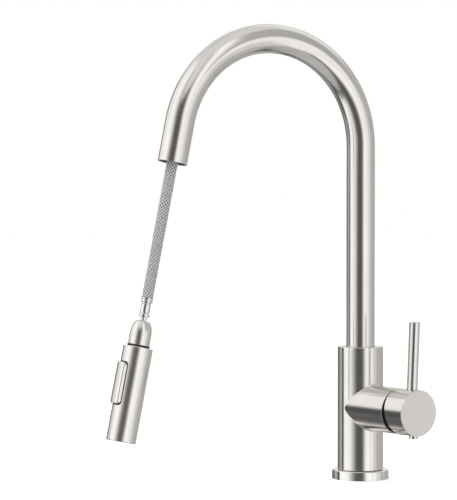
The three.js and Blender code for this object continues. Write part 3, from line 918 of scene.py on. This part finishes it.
def make_bonnet():
    """The dome in the housing's mouth, round the handle's pivot."""
    low, high = valve.span("bonnet")
    pivot = JOINT["handle_flow"]["pos_m"][0]
    ball, inner = 18.3 * MM, valve.inner("bonnet")
    dome = [(math.sqrt(ball**2 - (z - pivot) ** 2), z) for z in np.linspace(low, high, 14)]
    outline = [np.array(p) for p in [(inner, low), *dome, (inner, high)]]
    bonnet = turned("bonnet_fine", valve, outline, loop=True)
    return stand_for(smooth(bonnet), "base", "bonnet")


def make_hub():
    """A cup whose rim is cut on a slant, so that its lower edge clears the housing when it tilts."""
    spots = valve.local(points_of("handle_hub"))
    on_wall = np.hypot(spots[:, 0], spots[:, 1]) > HOUSING_R - 0.05 * MM
    rim_top = spots[on_wall & (spots[:, 0] > 0.95 * HOUSING_R), 2].min()
    rim_low = spots[on_wall & (spots[:, 0] < -0.95 * HOUSING_R), 2].min()
    end = valve.high("handle_hub")
    inner, floor = HOUSING_R - HUB_WALL, end - HUB_FACE
    middle, half = (rim_top + rim_low) / 2, (rim_low - rim_top) / 2

    def outline(angle):
        rim = middle - half * math.cos(angle)
        fine = rounded([
            (0, floor, 0), (inner, floor, 0.6 * MM), (inner, rim, 0.2 * MM), (HOUSING_R, rim, 0.18 * MM),
            (HOUSING_R, end, 0.55 * MM), (0, end, 0)])
        for i in reversed(range(len(fine) - 1)):
            run = fine[i + 1] - fine[i]
            if np.linalg.norm(run) > 8 * MM and fine[i][0] > inner / 2:
                fine[i + 1:i + 1] = [fine[i] + run * k / 4 for k in (1, 2, 3)]
        return fine

    hub = turned("hub", valve, outline, sides=144)
    lever = ends_of("lever_rod")[0]
    drill(hub, lever, lever.outer("lever_rod") + HOLE_GAP, 2 * MM, 30 * MM, sides=48)
    plug = plug_line()[0]
    drill(hub, plug, plug.outer("handle_screw_plug") + HOLE_GAP, -MM, 8 * MM, sides=48)
    smooth(hub, [(valve, HOUSING_R), (valve, inner)])
    return stand_for(hub, "handle", "handle_hub")


def plug_line():
    """The set screw's plug: its axis from its lower end, and its length."""
    line = upright_through("handle_screw_plug")
    low, high = line.span("handle_screw_plug")
    return line.moved(low), high - low


def make_plug():
    line, length = plug_line()
    r, socket, depth = line.outer("handle_screw_plug"), 1.5 * MM, 0.9 * MM
    plug = turned("screw_plug", line, rounded([
        (0, depth, 0), (socket, depth, 0), (socket, 0, 0.15 * MM),
        (r, 0, 0.9 * MM), (r, length, 0), (0, length, 0)]), sides=48)
    return stand_for(smooth(plug), "handle", "handle_screw_plug")


def make_lever():
    line, length = ends_of("lever_rod")
    r = line.outer("lever_rod")
    outline = finely(rounded([(0, 0, 0), (r, 0, 0), (r, length, 0.6 * MM), (0, length, 0)]), 6 * MM)
    lever = turned("lever", line, outline, sides=64)
    return stand_for(smooth(lever), "handle", "lever_rod")


# ---------------------------------------------------------------- below the deck
THREAD_PITCH = 1.5 * MM
THREAD_DEPTH = 0.8 * MM
THREAD_STEPS = 6              # rows of vertices to one turn
JACK_SCREWS = ("jack_screw_left", "jack_screw_right")
JACK_R = 2.4 * MM
JACK_PITCH = 0.8 * MM
JACK_DEPTH = 0.4 * MM
JACK_HOLE_R = 2.8 * MM
NOTCHES = 6
NOTCH_R = 3.6 * MM


def make_shank():
    """The shank: plain inside the body, a helical thread below the deck."""
    low, high = column.span("mounting_shank")
    inner, r = column.radii("mounting_shank")
    core = r - THREAD_DEPTH
    start, end = low + 1.2 * MM, -3 * MM
    heights = np.arange(start, end, THREAD_PITCH / THREAD_STEPS)

    def outline(angle):
        rows = [(inner, low), (core, low)]
        for z in heights:
            phase = (z / THREAD_PITCH - angle / FULL) % 1
            fade = min(1, (z - start) / THREAD_PITCH, (end - z) / THREAD_PITCH)
            crest = min(1, 2.6 * abs(phase - 0.5)) * fade
            rows.append((core + THREAD_DEPTH * crest, z))
        return [np.array(p) for p in [*rows, (core, end), (r, end + MM), (r, high), (inner, high)]]

    shank = turned("shank", column, outline, sides=72, loop=True)
    return stand_for(smooth(shank, sharp_degrees=40), "base", "mounting_shank")


def make_washers():
    for node in ("deck_washer_rubber", "deck_washer_steel"):
        low, high = column.span(node)
        inner, r = column.radii(node)
        edge = (high - low) / 4
        washer = turned(node + "_fine", column, rounded([
            (inner, low, edge), (r, low, edge), (r, high, edge), (inner, high, edge)]), loop=True)
        stand_for(smooth(washer), "base", node)


def make_nut():
    """The round nut with its two jack-screw holes and six grip notches."""
    low, high = column.span("mounting_nut")
    inner, r = column.radii("mounting_nut")
    nut = turned("nut", column, rounded([
        (inner, low, 0.6 * MM), (r, low, 0.8 * MM),
        (r, high, 0.5 * MM), (inner, high, 0.5 * MM)]), loop=True)
    for node in JACK_SCREWS:
        drill(nut, upright_through(node), JACK_HOLE_R, low - MM, high + MM, sides=32)
    middle = r * 1.07
    for k in range(NOTCHES):
        a = FULL * (k + 0.5) / NOTCHES
        notch = upright(middle * math.cos(a), middle * math.sin(a))
        drill(nut, notch, NOTCH_R, low - MM, high + MM, sides=32)
    return stand_for(smooth(nut, [(column, r), (column, inner)]), "base", "mounting_nut")


def make_jack_screws():
    """Two screws with a socket in the head, which is below, and a fine thread."""
    for node in JACK_SCREWS:
        line = upright_through(node)
        low, high = line.span(node)
        head_r, socket, chamfer = line.outer(node), 1.5 * MM, 0.5 * MM
        floor, head_top = low + 1.2 * MM, low + 3.2 * MM
        heights = np.arange(head_top + 0.6 * MM, high - 0.6 * MM, JACK_PITCH / THREAD_STEPS)

        def outline(angle):
            rows = [(0, floor), (socket, floor), (socket, low), (head_r - chamfer, low),
                    (head_r, low + chamfer), (head_r, head_top), (JACK_R, head_top)]
            for z in heights:
                phase = (z / JACK_PITCH - angle / FULL) % 1
                rows.append((JACK_R - JACK_DEPTH * abs(2 * phase - 1), z))
            return [np.array(p) for p in [*rows, (JACK_R - JACK_DEPTH, high), (0, high)]]

        screw = turned(node + "_fine", line, outline, sides=36)
        stand_for(smooth(screw, sharp_degrees=40), "base", node)


def make_foot_connector():
    node = "hose_foot_connector"
    low, high = column.span(node)
    bore, r = column.radii(node)
    waist = r - 1.1 * MM
    connector = turned("foot_connector", column, rounded([
        (bore, low, 0.3 * MM), (waist, low, 0.4 * MM), (waist, low + 4 * MM, 0.3 * MM),
        (r, low + 5 * MM, 0.3 * MM), (r, high - 2 * MM, 0.5 * MM),
        (waist, high, 0.2 * MM), (bore, high, 0.2 * MM)]), sides=64, loop=True)
    return stand_for(smooth(connector), "base", node)


# ---------------------------------------------------------------- studio
BASE_GLOW = 0.11              # where no box is painted
LEVEL_BLUR = 4                # of a box's lower and upper edge, in degrees
FLOOR_LIFT = 0.45             # keeps the deck as pale as the backdrop, to the camera only


def environment_boxes():
    """Soft boxes and dark gaps of the studio, by angle from the camera, in degrees.

    Each is (left, its blur, right, its blur, low, high, glow), and is painted over those before it."""
    return [
        (-200, 2, 200, 2, 58, 95, 0.8),
        (-200, 2, 200, 2, -95, -54, 0.55),
        (-93, 2, -38, 24, -44, 60, 1.2),
        (20, 12, 50, 4, -44, 60, 1.2),
        (50, 4, 72, 6, -52, 12, 1.1),
        (72, 6, 92, 6, -52, 12, 0.8),
        (50, 4, 92, 4, 12, 60, 0.5),
        (92, 6, 128, 4, -52, 60, 0.55),
        (112, 6, 182, 6, 26, 60, 0.95),
        (128, 3, 200, 2, -44, 26, 0.5),
        (-128, 2, -93, 2, -44, 60, 0.5),
        (-200, 2, -128, 2, -44, 60, 0.2),
        (-128, 2, -93, 2, 6, 58, 1.05),
        (-106, 2, -93, 2, -24, 3, 0.02),
        (-126, 4, -97, 3, -46, -18, 0.12),
        (-172, 4, -126, 6, -46, -20, 0.36),
        (-200, 2, -132, 4, 25, 58, 0.8),
        (-30, 14, 14, 10, 30, 60, 0.85),
        (-200, 2, -150, 4, 2, 22, 0.85),
        (150, 4, 200, 2, 2, 22, 0.85),
    ]


def make_studio():
    world = bpy.data.worlds.new("studio")
    bpy.context.scene.world = world
    sky = Tree(world)
    sky.tree.nodes.clear()

    def step(angle, edge, blur, before=0, after=1):
        return sky.spread(angle, before, after, edge - blur, edge + blur, interpolation_type="SMOOTHSTEP")

    direction = sky.node("ShaderNodeTexCoord").outputs["Generated"]
    turn = (0, 0, math.pi / 2 - CAMERA_AZIMUTH)
    spin = sky.node("ShaderNodeMapping", {"Vector": direction}, Rotation=turn)
    x, y, z = sky.node("ShaderNodeSeparateXYZ", {"Vector": spin.outputs["Vector"]}).outputs
    across = sky.maths("DEGREES", sky.maths("ARCTAN2", y, x))
    upward = sky.maths("DEGREES", sky.maths("ARCSINE", z))
    glow = BASE_GLOW
    for left, left_blur, right, right_blur, low, high, level in environment_boxes():
        sides = sky.maths("MULTIPLY", step(across, left, left_blur), step(across, right, right_blur, 1, 0))
        levels = sky.maths("MULTIPLY", step(upward, low, LEVEL_BLUR), step(upward, high, LEVEL_BLUR, 1, 0))
        box = sky.maths("MULTIPLY", sides, levels)
        glow = sky.maths("MULTIPLY_ADD", box, sky.maths("SUBTRACT", level, glow), glow)

    seen = sky.node("ShaderNodeLightPath").outputs["Is Camera Ray"]
    backdrop = sky.node("ShaderNodeBackground", Color=(1, 1, 1, 1), Strength=1.0)
    room = sky.node("ShaderNodeBackground", {"Strength": glow}, Color=(1, 0.995, 0.985, 1))
    mix = sky.node("ShaderNodeMixShader", {0: seen, 1: room.outputs[0], 2: backdrop.outputs[0]})
    sky.node("ShaderNodeOutputWorld", {"Surface": mix.outputs[0]})

    light = bpy.data.objects.new("overhead", bpy.data.lights.new("overhead", "AREA"))
    light.data.size = 2.4
    light.data.energy = 26
    light.location = (-0.5, -0.6, 2.6)
    light.rotation_euler = (0.22, -0.19, 0)
    light.visible_glossy = False
    bpy.context.scene.collection.objects.link(light)


def make_floor():
    """The pale deck, with the tap hole that the shank goes through."""
    hole, depth, sides = 17.5 * MM, 20 * MM, 96
    rings = [(hole, -depth), (hole, 0), (0.1, 0), (1.0, 0), (12.0, 0)]
    turns = [FULL * k / sides for k in range(sides)]
    vertices = [(r * math.cos(a), r * math.sin(a), z) for r, z in rings for a in turns]
    floor = new_object("floor", vertices, skin(len(rings), sides))
    paint = Nodes("floor", (0.86, 0.86, 0.86), 0.9, specular=0.1)
    paint.shader.inputs["Emission Color"].default_value = (1, 1, 1, 1)
    seen = paint.node("ShaderNodeLightPath").outputs["Is Camera Ray"]
    paint.set("Emission Strength", paint.maths("MULTIPLY", seen, FLOOR_LIFT))
    floor.data.materials.append(paint.material)
    floor.visible_glossy = False


def dress_hidden_nodes():
    """The CAD nodes that stay as they are get their slot's material."""
    for name, node in frame["nodes"].items():
        node.data.shade_smooth()
        node.data.set_sharp_from_angle(angle=math.radians(SMOOTH_DEGREES))
        dress(node, SLOT_OF[name])


dress_hidden_nodes()
make_ball_stem()
make_dome()
make_o_ring()
make_head_shell()
make_toggle()
make_toggle_gap_shade()
make_spray_face()
make_aerator()
make_gooseneck()
make_dock_insert()
make_body()
make_rim_ring()
make_housing_fillet()
make_escutcheon()
make_bonnet()
make_hub()
make_plug()
make_lever()
make_shank()
make_washers()
make_nut()
make_jack_screws()
make_foot_connector()
make_studio()
make_floor()
bpy.context.scene.view_settings.view_transform = "Standard"
